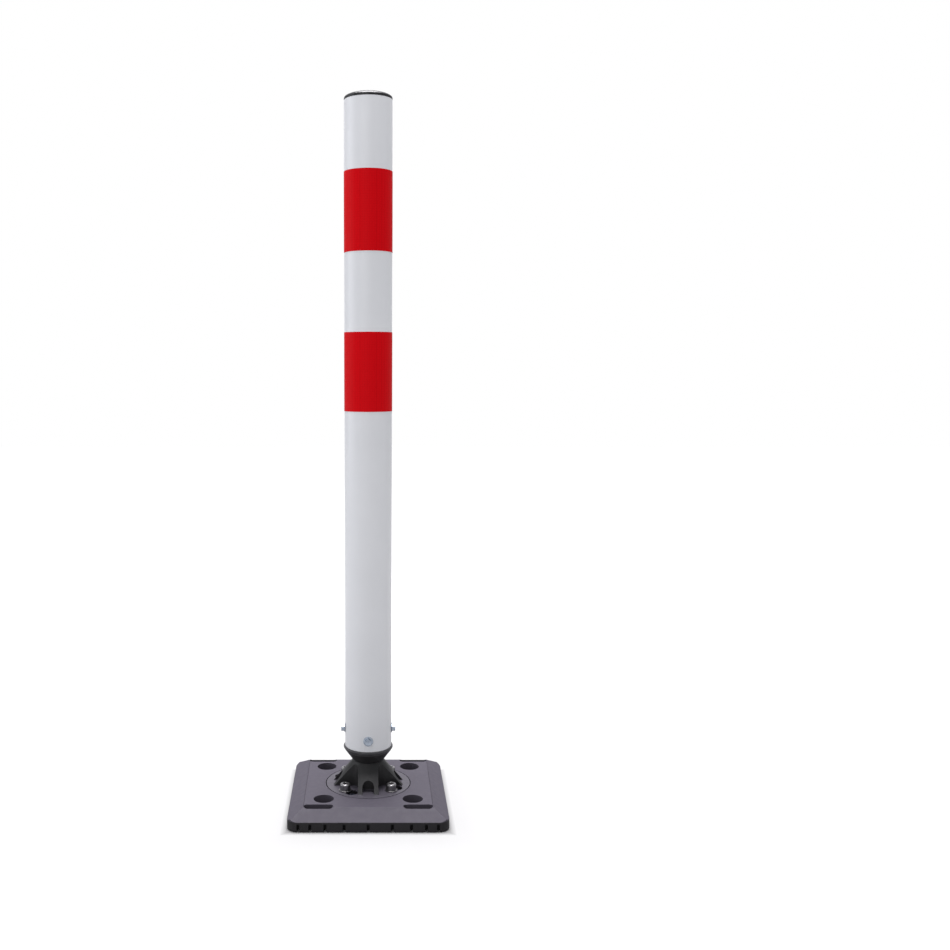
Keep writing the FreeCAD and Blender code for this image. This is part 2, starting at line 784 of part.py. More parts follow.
def make_end_cap():
    """Domed cap whose barbed spigot presses into the tube's open end."""
    body = new_body("end_cap")
    spigot = "tube_bore_radius - cap_spigot_clearance"
    barb = f"{spigot} + cap_barb"
    low = "rim_z - cap_spigot_depth"
    revolve(
        body,
        [
            ("0", "rim_z"),
            (f"{spigot} - cap_spigot_wall", "rim_z"),
            (f"{spigot} - cap_spigot_wall", low),
            (f"{spigot} - cap_spigot_chamfer", low),
            (spigot, f"{low} + cap_spigot_chamfer"),
            (spigot, f"{low} + cap_barb_height"),
            (barb, f"{low} + 2 * cap_barb_height"),
            (spigot, f"{low} + 2 * cap_barb_height"),
            (spigot, "rim_z"),
            ("tube_radius", "rim_z"),
            ("tube_radius", "rim_z + cap_edge_height"),
            ("0", "rim_z + cap_edge_height"),
        ],
    )
    dome = new_sketch(body, "dome", "XZ_Plane")
    middle = V(0, worth(dome, "rim_z + cap_edge_height"), 0)
    rise = "cap_height - cap_edge_height"
    ellipse = Part.Ellipse(middle, worth(dome, "tube_radius"), worth(dome, rise))
    arc = dome.addGeometry(Part.ArcOfEllipse(ellipse, 0, math.pi / 2))
    right = middle + V(worth(dome, "tube_radius"), 0, 0)
    top = middle + V(0, worth(dome, rise), 0)
    base = dome.addGeometry(Part.LineSegment(middle, right))
    stem = dome.addGeometry(Part.LineSegment(top, middle))
    dome.addConstraint(Sketcher.Constraint("Coincident", arc, 1, base, 2))
    dome.addConstraint(Sketcher.Constraint("Coincident", arc, 2, stem, 1))
    dome.addConstraint(Sketcher.Constraint("Coincident", stem, 2, base, 1))
    dome.addConstraint(Sketcher.Constraint("Coincident", arc, 3, base, 1))
    hold_point(dome, base, 1, ("0", "rim_z + cap_edge_height"))
    hold_point(dome, base, 2, ("tube_radius", "rim_z + cap_edge_height"))
    hold_point(dome, stem, 1, ("0", "rim_z + cap_height"))
    feature = body.newObject("PartDesign::Revolution", "end_cap_dome_revolution")
    feature.Profile = dome
    feature.ReferenceAxis = (origin_feature(body, "Z_Axis"), [""])
    feature.Angle = 360.0
    return body


def hex_screw(name):
    """Self-drilling screw: its flange's underside is at zero and its point hangs below."""
    flange = primitive(
        "Cone", f"{name}_flange", Radius1="screw_flange_radius",
        Radius2="screw_flange_radius - screw_flange_thickness / 2", Height="screw_flange_thickness",
    )
    hexagon_head = hex_bar(
        f"{name}_head", "screw_flats", "screw_head_height", "screw_flange_thickness"
    )
    shank = primitive(
        "Cylinder", f"{name}_shank", "screw_point - screw_length",
        Radius="screw_radius", Height="screw_length - screw_point + screw_flange_thickness / 2",
    )
    point = primitive(
        "Cone", f"{name}_point", "-screw_length", Radius1="screw_radius / 4",
        Radius2="screw_radius", Height="screw_point",
    )
    return joined(name, flange, hexagon_head, shank, point)


def place_screw(side, x_side, y_side, above_lip):
    """Lay a screw on its side, its head outwards, against the tube."""
    solid = hex_screw(f"screw_{side}")
    outward = V(x_side, y_side, 0)
    solid.Placement = FreeCAD.Placement(V(0, 0, 0), FreeCAD.Rotation(V(0, 0, 1), outward))
    put(
        f"tube_screw_{side}",
        solid,
        f"{x_side} * tube_radius",
        f"{y_side} * tube_radius",
        f"tube_foot_z + {above_lip}",
    )


sub_parts.append(make_tube_plug())
sub_parts.append(make_post_tube())
first_top = "rim_z - band_from_rim"
sub_parts.append(make_band("upper_band", first_top))
sub_parts.append(make_band("lower_band", f"{first_top} - band_height - band_gap"))
sub_parts.append(make_end_cap())
for side, (x_side, y_side, above_lip) in SCREWS.items():
    place_screw(side, x_side, y_side, above_lip)


# ---------------------------------------------------------------- check and write

doc.recompute()
failed = [item.Name for item in doc.Objects if {"Invalid", "Error"} & set(item.State)]
for item in sub_parts:
    if item.Shape.isNull() or not item.Shape.isValid() or not item.Shape.Solids:
        failed.append(item.Label)
if failed:
    raise RuntimeError("these objects failed: " + ", ".join(failed))

os.makedirs("parts", exist_ok=True)
for item in sub_parts:
    item.Shape.exportStep(f"parts/{item.Label}.step")
    print(item.Label, len(item.Shape.Solids), round(item.Shape.Volume, 1))
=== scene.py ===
import math

import bpy
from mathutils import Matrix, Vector


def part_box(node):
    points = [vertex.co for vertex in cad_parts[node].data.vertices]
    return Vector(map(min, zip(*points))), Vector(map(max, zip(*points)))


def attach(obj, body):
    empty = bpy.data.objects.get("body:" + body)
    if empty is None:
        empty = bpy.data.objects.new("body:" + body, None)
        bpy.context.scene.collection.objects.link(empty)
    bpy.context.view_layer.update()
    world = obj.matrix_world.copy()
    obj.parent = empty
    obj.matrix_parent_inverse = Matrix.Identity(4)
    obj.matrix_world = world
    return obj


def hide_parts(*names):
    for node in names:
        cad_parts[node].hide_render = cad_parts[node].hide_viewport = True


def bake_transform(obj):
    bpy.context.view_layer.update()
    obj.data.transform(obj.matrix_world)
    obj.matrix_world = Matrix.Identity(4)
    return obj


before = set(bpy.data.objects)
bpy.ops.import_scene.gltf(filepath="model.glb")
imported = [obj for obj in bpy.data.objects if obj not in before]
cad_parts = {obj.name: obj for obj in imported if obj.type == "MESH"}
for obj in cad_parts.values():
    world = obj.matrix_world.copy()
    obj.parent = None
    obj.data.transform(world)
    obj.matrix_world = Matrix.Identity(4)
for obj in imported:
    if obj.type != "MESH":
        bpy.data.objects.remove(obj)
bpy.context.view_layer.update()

# ---------------------------------------------------------------- the studio
# The post stands on a plain white floor in an even white room, seen from the front and a
# little above its middle. Large soft lights stand to the left, in front and behind, and the
# strongest one hangs above.

camera_data = bpy.data.cameras.new("camera")
camera_data.lens = 40.85
camera_data.sensor_width = 36.0
camera_data.shift_x = 0.1124
camera = bpy.data.objects.new("camera", camera_data)
camera.location = (0.0, -1.3638, 0.5687)
camera.rotation_euler = (math.radians(84.13), 0.0, 0.0)
bpy.context.scene.collection.objects.link(camera)
bpy.context.scene.camera = camera
bpy.context.scene.view_settings.view_transform = "Standard"


def area_light(name, place, aim, size, watts, tint):
    """A square soft light that faces the point aim."""
    data = bpy.data.lights.new(name, "AREA")
    data.shape = "SQUARE"
    data.size = size
    data.energy = watts
    data.color = tint
    light = bpy.data.objects.new(name, data)
    light.location = place
    light.visible_camera = False
    light.rotation_euler = (Vector(aim) - Vector(place)).to_track_quat("-Z", "Y").to_euler()
    bpy.context.scene.collection.objects.link(light)


area_light("left_softbox", (-2.6, 0.1, 1.0), (0, 0, 0.5), 1.6, 14, (0.93, 0.95, 1.0))
area_light("front_softbox", (-0.9, -2.8, 1.5), (0, 0, 0.4), 2.0, 15, (1.0, 0.985, 1.0))
area_light("top_softbox", (0.0, 0.25, 2.6), (0, 0.25, 0), 1.3, 112, (1.0, 0.98, 1.0))
area_light("back_softbox", (0.0, 2.8, 1.45), (0, 0, 0), 3.0, 18, (0.97, 0.95, 1.0))

world = bpy.data.worlds.new("white_room")
world.use_nodes = True
bpy.context.scene.world = world
sky = world.node_tree
sky.nodes["Background"].inputs["Color"].default_value = (0.95, 0.965, 1.0, 1.0)
sky.nodes["Background"].inputs["Strength"].default_value = 0.42
backdrop = sky.nodes.new("ShaderNodeBackground")
backdrop.inputs["Color"].default_value = (1.0, 1.0, 1.0, 1.0)
ray = sky.nodes.new("ShaderNodeLightPath")
choice = sky.nodes.new("ShaderNodeMixShader")
sky.links.new(ray.outputs["Is Camera Ray"], choice.inputs["Fac"])
sky.links.new(sky.nodes["Background"].outputs[0], choice.inputs[1])
sky.links.new(backdrop.outputs[0], choice.inputs[2])
sky.links.new(choice.outputs[0], sky.nodes["World Output"].inputs["Surface"])


def spread(tree, value, low, high, from_low=0.3, from_high=0.7):
    """Map a value between two limits onto low to high, and hold it there beyond them."""
    ramp = tree.nodes.new("ShaderNodeMapRange")
    ramp.inputs["From Min"].default_value = from_low
    ramp.inputs["From Max"].default_value = from_high
    ramp.inputs["To Min"].default_value = low
    ramp.inputs["To Max"].default_value = high
    tree.links.new(value, ramp.inputs["Value"])
    return ramp.outputs["Result"]


def arithmetic(tree, operation, first, second):
    """One step of arithmetic on two node outputs."""
    step = tree.nodes.new("ShaderNodeMath")
    step.operation = operation
    tree.links.new(first, step.inputs[0])
    tree.links.new(second, step.inputs[1])
    return step.outputs[0]


bpy.ops.object.select_all(action="DESELECT")
bpy.ops.mesh.primitive_plane_add(size=12.0, location=(0, 0, 0))
floor = bpy.context.object
floor.name = "floor"
floor_paint = bpy.data.materials.new("floor_white")
floor_paint.use_nodes = True
floor_shader = floor_paint.node_tree.nodes["Principled BSDF"]
floor_shader.inputs["Base Color"].default_value = (0.32, 0.32, 0.32, 1.0)
floor_shader.inputs["Roughness"].default_value = 0.9
floor_shader.inputs["Specular IOR Level"].default_value = 0.1
floor_shader.inputs["Emission Color"].default_value = (1.0, 1.0, 1.0, 1.0)

# The overlit paper glows: for the camera alone from just outside the plate's footprint, rising over 8
# mm, so that the narrow contact shadow there is partly the real one and partly painted shadow left by
# the missing glow; and for everything further out, where it lights the post.
FOOTPRINT, PAINTED_SHADOW_EDGE = 0.1, 0.108
FAR_START, FAR_END = 0.12, 0.8
NEAR_GLOW, FAR_GLOW = 0.38, 0.5
paper = floor_paint.node_tree
place = paper.nodes.new("ShaderNodeTexCoord")
size = paper.nodes.new("ShaderNodeVectorMath")
size.operation = "ABSOLUTE"
split = paper.nodes.new("ShaderNodeSeparateXYZ")
paper.links.new(place.outputs["Object"], size.inputs[0])
paper.links.new(size.outputs[0], split.inputs[0])
distance = arithmetic(paper, "MAXIMUM", split.outputs["X"], split.outputs["Y"])
# Painted shadow: the camera-only glow is zero inside the footprint and ramps up to full strength 8 mm
# out, darkening a narrow band round the plate.
glow_past_painted_shadow = spread(paper, distance, 0.0, NEAR_GLOW, FOOTPRINT, PAINTED_SHADOW_EDGE)
far_glow = spread(paper, distance, 0.0, FAR_GLOW, FAR_START, FAR_END)
seen = paper.nodes.new("ShaderNodeLightPath")
seen_glow = arithmetic(paper, "MULTIPLY", glow_past_painted_shadow, seen.outputs["Is Camera Ray"])
glow = arithmetic(paper, "ADD", seen_glow, far_glow)
paper.links.new(glow, floor_shader.inputs["Emission Strength"])
floor.data.materials.append(floor_paint)

# ---------------------------------------------------------------- base plate
# A 200 mm square slab moulded in black recycled plastic, 24 mm thick. All four sides are
# bevelled for tyres to climb, the wall is notched for drainage, and the underside is cored.

MM = 0.001


def only(piece):
    """Make piece the one selected and active object."""
    bpy.ops.object.select_all(action="DESELECT")
    piece.select_set(True)
    bpy.context.view_layer.objects.active = piece


def cube(low, high):
    """A box between two corners."""
    bpy.ops.object.select_all(action="DESELECT")
    middle = [(a + b) / 2 for a, b in zip(low, high)]
    bpy.ops.mesh.primitive_cube_add(size=1.0, location=middle)
    piece = bpy.context.object
    piece.scale = [b - a for a, b in zip(low, high)]
    bpy.ops.object.transform_apply(location=True, scale=True)
    return piece


def prism(sides, radius, x, y, low, high, turn=0.0):
    """An upright prism; with many sides it is a cylinder. Six sides show a flat to the front."""
    bpy.ops.object.select_all(action="DESELECT")
    bpy.ops.mesh.primitive_cylinder_add(
        vertices=sides, radius=radius, depth=high - low, location=(x, y, (low + high) / 2),
        rotation=(0, 0, turn),
    )
    bpy.ops.object.transform_apply(location=True, rotation=True)
    return bpy.context.object


def join(pieces):
    """Join meshes into the first one."""
    bpy.ops.object.select_all(action="DESELECT")
    for piece in pieces:
        piece.select_set(True)
    bpy.context.view_layer.objects.active = pieces[0]
    bpy.ops.object.join()
    return pieces[0]


def combine(piece, tool, operation="DIFFERENCE"):
    """Cut a closed mesh out of another, or keep what they share, and remove the tool."""
    only(piece)
    step = piece.modifiers.new("combine", "BOOLEAN")
    step.object = tool
    step.operation = operation
    step.solver = "EXACT"
    bpy.ops.object.modifier_apply(modifier=step.name)
    bpy.data.objects.remove(tool)


def round_edges(piece, width, segments=3, sharper_than=25.0):
    """Round every edge that turns by more than a given angle, and apply it."""
    only(piece)
    rounding = piece.modifiers.new("rounding", "BEVEL")
    rounding.width = width
    rounding.segments = segments
    rounding.limit_method = "ANGLE"
    rounding.angle_limit = math.radians(sharper_than)
    rounding.use_clamp_overlap = True
    bpy.ops.object.modifier_apply(modifier=rounding.name)


def smooth(piece, angle=30.0):
    """Shade smooth over gentle edges, with the shading of large flat faces kept flat."""
    only(piece)
    bpy.ops.object.shade_smooth_by_angle(angle=math.radians(angle))
    flats = piece.modifiers.new("flats", "WEIGHTED_NORMAL")
    flats.keep_sharp = True
    flats.weight = 100
    bpy.ops.object.modifier_apply(modifier=flats.name)


def node_material(name):
    """A new material, with its node tree and its shader."""
    material = bpy.data.materials.new(name)
    material.use_nodes = True
    return material, material.node_tree, material.node_tree.nodes["Principled BSDF"]


def noise(tree, scale, detail=4.0, roughness=0.5, stretch=(1, 1, 1)):
    """Noise on object coordinates; scale is in lumps per metre."""
    place = tree.nodes.new("ShaderNodeTexCoord")
    mapping = tree.nodes.new("ShaderNodeMapping")
    mapping.inputs["Scale"].default_value = stretch
    texture = tree.nodes.new("ShaderNodeTexNoise")
    texture.inputs["Scale"].default_value = scale
    texture.inputs["Detail"].default_value = detail
    texture.inputs["Roughness"].default_value = roughness
    tree.links.new(place.outputs["Object"], mapping.inputs["Vector"])
    tree.links.new(mapping.outputs["Vector"], texture.inputs["Vector"])
    return texture.outputs["Fac"]


def blend_colours(tree, value, first, second):
    """Mix a colour, or a colour from another node, with a second colour."""
    mix = tree.nodes.new("ShaderNodeMix")
    mix.data_type = "RGBA"
    if isinstance(first, tuple):
        mix.inputs["A"].default_value = (*first, 1.0)
    else:
        tree.links.new(first, mix.inputs["A"])
    mix.inputs["B"].default_value = (*second, 1.0)
    tree.links.new(value, mix.inputs["Factor"])
    return mix.outputs["Result"]


def bump(tree, shader, heights, distance, strength=1.0):
    """Add relief; a second call stands on the first."""
    node = tree.nodes.new("ShaderNodeBump")
    node.inputs["Distance"].default_value = distance
    node.inputs["Strength"].default_value = strength
    tree.links.new(heights, node.inputs["Height"])
    if shader.inputs["Normal"].is_linked:
        tree.links.new(shader.inputs["Normal"].links[0].from_socket, node.inputs["Normal"])
    tree.links.new(node.outputs["Normal"], shader.inputs["Normal"])


def paint_sheen_by_height(tree, colour, painted_sheen, low, high):
    """Let a colour give way to another between two heights, to paint a sheen by height."""
    place = tree.nodes.new("ShaderNodeTexCoord")
    split = tree.nodes.new("ShaderNodeSeparateXYZ")
    tree.links.new(place.outputs["Object"], split.inputs[0])
    return blend_colours(tree, spread(tree, split.outputs["Z"], 0.0, 1.0, low, high), colour, painted_sheen)


def moulded_black(name, dark, light, roughness, grain, relief, specular=0.5, painted_sheen_bands=()):
    """Black moulding: faint cloudy colour, a fine sprayed grain and slightly uneven gloss.
    Each band is a colour that sets in between two heights; the bands paint a lighter sheen on the flat
    tops, where the room's light glances off them."""
    material, tree, shader = node_material(name)
    cloud = spread(tree, noise(tree, 45.0, 5.0), 0.0, 1.0)
    colour = blend_colours(tree, cloud, dark, light)
    for painted_sheen in painted_sheen_bands:
        colour = paint_sheen_by_height(tree, colour, *painted_sheen)
    tree.links.new(colour, shader.inputs["Base Color"])
    gloss = spread(tree, noise(tree, 160.0, 3.0), roughness - 0.05, roughness + 0.06)
    tree.links.new(gloss, shader.inputs["Roughness"])
    shader.inputs["Specular IOR Level"].default_value = specular
    bump(tree, shader, noise(tree, grain, 2.0), relief)
    bump(tree, shader, noise(tree, 70.0, 2.0), relief * 2.0, 0.5)
    return material


def finish_piece(piece, material, slot, *nodes):
    """Give a piece its material and hide the CAD nodes it stands for; the slot argument is not used.
    """
    piece.data.materials.clear()
    piece.data.materials.append(material)
    if nodes:
        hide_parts(*nodes)
    return piece


plate_low, plate_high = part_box("base_plate")
PLATE_TOP = plate_high.z
HALF = plate_high.x
WALL_TOP = 12.5 * MM
BEVEL_RUN = 19.6 * MM
CORNER_RADIUS = 14.0 * MM
plate = cube(plate_low, plate_high)
plate.name = plate.data.name = "base_plate_moulding"


def pick_edges(piece, wanted):
    """Go into edit mode with only the edges selected for which wanted(start, end) holds."""
    only(piece)
    bpy.ops.object.mode_set(mode="EDIT")
    bpy.ops.mesh.select_mode(type="EDGE")
    bpy.ops.mesh.select_all(action="DESELECT")
    bpy.ops.object.mode_set(mode="OBJECT")
    points = piece.data.vertices
    for edge in piece.data.edges:
        edge.select = wanted(points[edge.vertices[0]].co, points[edge.vertices[1]].co)
    bpy.ops.object.mode_set(mode="EDIT")


pick_edges(plate, lambda start, end: abs(start.z - end.z) > 1 * MM)
bpy.ops.mesh.bevel(offset=CORNER_RADIUS, segments=10, profile=0.5)
bpy.ops.object.mode_set(mode="OBJECT")
slope = BEVEL_RUN / (PLATE_TOP - WALL_TOP)
hips = cube((-1, -1, plate_low.z - 5 * MM), (1, 1, PLATE_TOP + 5 * MM))
only(hips)
for level in (plate_low.z - 5 * MM, PLATE_TOP + 5 * MM):
    reach = HALF + (WALL_TOP - level) * slope
    pick_edges(hips, lambda start, end: abs(start.z - level) < 1e-5 and abs(end.z - level) < 1e-5)
    bpy.ops.transform.resize(value=(reach, reach, 1), center_override=(0, 0, level))
    bpy.ops.object.mode_set(mode="OBJECT")
combine(plate, hips, "INTERSECT")
BOTTOM_EDGE = 1.2 * MM
pick_edges(plate, lambda start, end: start.z < 1e-6 and end.z < 1e-6)
bpy.ops.mesh.bevel(offset=BOTTOM_EDGE, segments=1)
bpy.ops.object.mode_set(mode="OBJECT")

foot_low, foot_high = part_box("flex_foot")
FLANGE_FLOOR = foot_low.z
FLANGE_RADIUS = foot_high.x
FLANGE_GAP = 1.0 * MM
ANCHOR_X, ANCHOR_Y = 56.0 * MM, 55.0 * MM
ANCHOR_HOLE, SINK_RADIUS, SINK_DEPTH = 7.0 * MM, 12.75 * MM, 14.0 * MM
SLOT_X, SLOT_Y = 61.8 * MM, 77.6 * MM
SLOT_REACH, SLOT_RADIUS = 13.5 * MM, 5.0 * MM
BOLT_X, BOLT_Y = 29.5 * MM, 28.5 * MM
BOLT_HOLE = 4.5 * MM
NUT_POCKET_FLATS, NUT_POCKET_DEPTH = 13.6 * MM, 8.0 * MM
BELOW, ABOVE = -5 * MM, PLATE_TOP + 5 * MM
combine(plate, prism(160, FLANGE_RADIUS + FLANGE_GAP, 0, 0, FLANGE_FLOOR, ABOVE))
CORNERS = {
    "front_left": (-1, -1),
    "front_right": (1, -1),
    "rear_left": (-1, 1),
    "rear_right": (1, 1),
}
for side_x, side_y in CORNERS.values():
    x, y = side_x * ANCHOR_X, side_y * ANCHOR_Y
    combine(plate, prism(64, SINK_RADIUS, x, y, PLATE_TOP - SINK_DEPTH, ABOVE))
    combine(plate, prism(48, ANCHOR_HOLE, x, y, BELOW, ABOVE))
    x, y = side_x * SLOT_X, side_y * SLOT_Y
    slot = prism(48, SLOT_RADIUS, x, y, BELOW, ABOVE)
    pick_edges(slot, lambda start, end: start.x > x - 1e-6 and end.x > x - 1e-6)
    bpy.ops.transform.translate(value=(SLOT_REACH, 0, 0))
    bpy.ops.object.mode_set(mode="OBJECT")
    pick_edges(slot, lambda start, end: start.x < x - 1e-6 and end.x < x - 1e-6)
    bpy.ops.transform.translate(value=(-SLOT_REACH, 0, 0))
    bpy.ops.object.mode_set(mode="OBJECT")
    combine(plate, slot)
    x, y = side_x * BOLT_X, side_y * BOLT_Y
    combine(plate, prism(32, BOLT_HOLE, x, y, BELOW, ABOVE))
    pocket_radius = NUT_POCKET_FLATS / math.sqrt(3)
    combine(plate, prism(6, pocket_radius, x, y, BELOW, NUT_POCKET_DEPTH, math.pi / 6))

CELL_LONG, CELL_SHORT, CELL_DEPTH = 66.0 * MM, 24.0 * MM, 6.0 * MM
CELL_PLACE = 76.0 * MM
HUB_CELL_RADIUS = 20.0 * MM
combine(plate, prism(64, HUB_CELL_RADIUS, 0, 0, BELOW, CELL_DEPTH))
for side in (-1, 1):
    y, half_x, half_y = side * CELL_PLACE, CELL_LONG / 2, CELL_SHORT / 2
    combine(plate, cube((-half_x, y - half_y, BELOW), (half_x, y + half_y, CELL_DEPTH)))
    combine(plate, cube((y - half_y, -half_x, BELOW), (y + half_y, half_x, CELL_DEPTH)))

# the gaps between notches shrink by a constant ratio, from the middle out
NOTCH_WIDTH, NOTCH_DEPTH, NOTCH_HEIGHT = 3.6 * MM, 8.0 * MM, 10.0 * MM
NOTCH_STEP, NOTCH_RATIO = 29.5 * MM, 0.79
notches = []
for count in range(-4, 5):
    reach = NOTCH_STEP * (1 - NOTCH_RATIO ** abs(count)) / (1 - NOTCH_RATIO)
    place = math.copysign(reach, count)
    near, far = place - NOTCH_WIDTH / 2, place + NOTCH_WIDTH / 2
    deep, out = HALF - NOTCH_DEPTH, HALF + NOTCH_DEPTH
    for low, high in ((-out, -deep), (deep, out)):
        notches.append(cube((near, low, BELOW), (far, high, NOTCH_HEIGHT)))
        notches.append(cube((low, near, BELOW), (high, far, NOTCH_HEIGHT)))
combine(plate, join(notches))
round_edges(plate, 0.6 * MM)
smooth(plate)
plate_plastic = moulded_black(
    "moulded_plate_plastic",
    dark=(0.017, 0.016, 0.018),
    light=(0.022, 0.0205, 0.023),
    roughness=0.62,
    grain=1900.0,
    relief=0.01 * MM,
    specular=0.25,
    # Painted sheen: above the wall's top edge the bevels and top take a lighter grey, standing in for
    # the white room glancing off the flat black plastic.
    painted_sheen_bands=[((0.072, 0.0655, 0.084), WALL_TOP - 0.5 * MM, WALL_TOP + 0.5 * MM)],
)
finish_piece(plate, plate_plastic, "plate_plastic", "base_plate")
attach(plate, "root")

# ---------------------------------------------------------------- elastomer foot
# A polyurethane moulding let into the plate: a round flange with four keyholes for the
# bolts, and a hollow waisted pedestal whose four ribs end in arched niches. It bends when
# the post leans.

waist_z = foot_high.z
WAIST_RADIUS = 19.8 * MM
PEDESTAL_RADIUS = 46.0 * MM
CAVITY_RADIUS = 15.0 * MM
ROOF = 10.0 * MM
ROOF_Z = waist_z - ROOF
STUD_HOLE = 6.5 * MM
RING_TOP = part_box("foot_backing_ring")[1].z
RING_BORE = 18.9 * MM


def turned(name, rings, sides=96):
    """A round piece raised about Z, ring by ring; each ring is (radius, height).
    The last ring is closed with a face unless it meets the first."""
    radius, height = rings[0]
    bpy.ops.object.select_all(action="DESELECT")
    bpy.ops.mesh.primitive_circle_add(vertices=sides, radius=radius, location=(0, 0, height))
    piece = bpy.context.object
    piece.name = piece.data.name = name
    bpy.ops.object.transform_apply(location=True)
    bpy.ops.object.mode_set(mode="EDIT")
    bpy.ops.mesh.select_all(action="SELECT")
    for next_radius, next_height in rings[1:]:
        rise = (0, 0, next_height - height)
        bpy.ops.mesh.extrude_region_move(TRANSFORM_OT_translate={"value": rise})
        scale = next_radius / radius
        bpy.ops.transform.resize(value=(scale, scale, 1), center_override=(0, 0, next_height))
        radius, height = next_radius, next_height
    bpy.ops.mesh.select_all(action="SELECT")
    bpy.ops.mesh.remove_doubles(threshold=0.002 * MM)
    bpy.ops.mesh.select_all(action="DESELECT")
    bpy.ops.mesh.select_mode(type="VERT")
    bpy.ops.mesh.select_non_manifold()
    bpy.ops.mesh.fill_holes(sides=sides)
    bpy.ops.mesh.select_all(action="SELECT")
    bpy.ops.mesh.normals_make_consistent(inside=False)
    bpy.ops.object.mode_set(mode="OBJECT")
    return piece


foot = turned(
    "foot_moulding",
    [
        (RING_BORE, RING_TOP),
        (RING_BORE, FLANGE_FLOOR),
        (CAVITY_RADIUS, FLANGE_FLOOR),
        (CAVITY_RADIUS, ROOF_Z),
        (STUD_HOLE, ROOF_Z),
        (STUD_HOLE, waist_z),
        (WAIST_RADIUS, waist_z),
        (PEDESTAL_RADIUS, PLATE_TOP),
        (FLANGE_RADIUS, PLATE_TOP),
        (FLANGE_RADIUS, RING_TOP),
        (RING_BORE, RING_TOP),
    ],
    sides=160,
)
RIB_HALF = 13.0 * MM
ROOT_RADIUS = 8.0 * MM
KEYHOLE_TURN = math.radians(14.5)
KEYHOLE_RADIUS = 8.3 * MM
for side_x, side_y in CORNERS.values():
    x, y = side_x * BOLT_X, side_y * BOLT_Y
    low = (RIB_HALF, RIB_HALF, PLATE_TOP)
    corner = cube(low, (FLANGE_RADIUS, FLANGE_RADIUS, waist_z + 5 * MM))
    pick_edges(corner, lambda start, end: max(start.x, start.y, end.x, end.y) < RIB_HALF + 1e-6)
    bpy.ops.mesh.bevel(offset=ROOT_RADIUS, segments=10, profile=0.5)
    bpy.ops.object.mode_set(mode="OBJECT")
    corner.rotation_euler = (0, 0, math.atan2(side_y, side_x) - math.pi / 4)
    only(corner)
    bpy.ops.object.transform_apply(rotation=True)
    combine(foot, corner)
    combine(foot, prism(32, BOLT_HOLE, x, y, 0, ABOVE))
    key_x = x * math.cos(KEYHOLE_TURN) - y * math.sin(KEYHOLE_TURN)
    key_y = x * math.sin(KEYHOLE_TURN) + y * math.cos(KEYHOLE_TURN)
    combine(foot, prism(48, KEYHOLE_RADIUS, key_x, key_y, 0, ABOVE))
    throat = cube((-BOLT_HOLE, 0, 0), (BOLT_HOLE, math.hypot(key_x - x, key_y - y), ABOVE))
    throat.rotation_euler = (0, 0, math.atan2(key_y - y, key_x - x) - math.pi / 2)
    throat.location = (x, y, 0)
    only(throat)
    bpy.ops.object.transform_apply(location=True, rotation=True)
    combine(foot, throat)

NICHE_WIDTH, NICHE_HEIGHT, NICHE_DEPTH = 15.0 * MM, 15.1 * MM, 20.0 * MM
for quarter in range(4):
    far = PEDESTAL_RADIUS + 10 * MM
    near = PEDESTAL_RADIUS - NICHE_DEPTH
    half = NICHE_WIDTH / 2
    niche = cube((-half, -far, PLATE_TOP), (half, -near, PLATE_TOP + NICHE_HEIGHT))
    pick_edges(niche, lambda start, end: min(start.z, end.z) > PLATE_TOP + 1 * MM
               and abs(start.y - end.y) > 1 * MM)
    bpy.ops.mesh.bevel(offset=half * 0.999, segments=12, profile=0.5)
    bpy.ops.object.mode_set(mode="OBJECT")
    niche.rotation_euler = (0, 0, quarter * math.pi / 2)
    only(niche)
    bpy.ops.object.transform_apply(rotation=True)
    combine(foot, niche)

only(foot)
bpy.ops.object.mode_set(mode="EDIT")
BENDING_LAYERS = 14
for layer in range(1, BENDING_LAYERS):
    bpy.ops.mesh.select_all(action="SELECT")
    bpy.ops.mesh.bisect(
        plane_co=(0, 0, PLATE_TOP + (waist_z - PLATE_TOP) * layer / BENDING_LAYERS),
        plane_no=(0, 0, 1),
    )
bpy.ops.object.mode_set(mode="OBJECT")
round_edges(foot, 0.7 * MM)
smooth(foot)
foot_rubber = moulded_black(
    "foot_polyurethane",
    dark=(0.009, 0.0088, 0.0095),
    light=(0.013, 0.0128, 0.0135),
    roughness=0.48,
    grain=2400.0,
    relief=0.008 * MM,
    # Painted sheen: the flange top takes the lighter grey of the plate's top, standing in for the
    # room's light glancing off it; above the flange the pedestal returns to a dark colour.
    painted_sheen_bands=[
        ((0.064, 0.0585, 0.0745), PLATE_TOP - 1.5 * MM, PLATE_TOP - 0.3 * MM),
        ((0.012, 0.0118, 0.0126), PLATE_TOP + 0.2 * MM, PLATE_TOP + 1.5 * MM),
    ],
)
finish_piece(foot, foot_rubber, "foot_elastomer", "flex_foot")
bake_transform(foot)

# ---------------------------------------------------------------- foot bolts and washers
# Four stainless M8 cap screws with a hex socket clamp the foot's flange to the plate, each
# on a flat washer and into a zinc-plated nut in a hex pocket underneath.


def metal(name, base, shade, roughness, scratch, relief=0.004 * MM, stretch=(1, 1, 1)):
    """Bare or plated steel: cloudy tone, fine scratches and uneven gloss."""
    material, tree, shader = node_material(name)
    cloud = spread(tree, noise(tree, 300.0, 4.0), 0.0, 1.0)
    tree.links.new(blend_colours(tree, cloud, base, shade), shader.inputs["Base Color"])
    shader.inputs["Metallic"].default_value = 1.0
    fine = noise(tree, scratch, 3.0, 0.6, stretch)
    tree.links.new(spread(tree, fine, roughness - 0.06, roughness + 0.1), shader.inputs["Roughness"])
    bump(tree, shader, fine, relief)
    return material


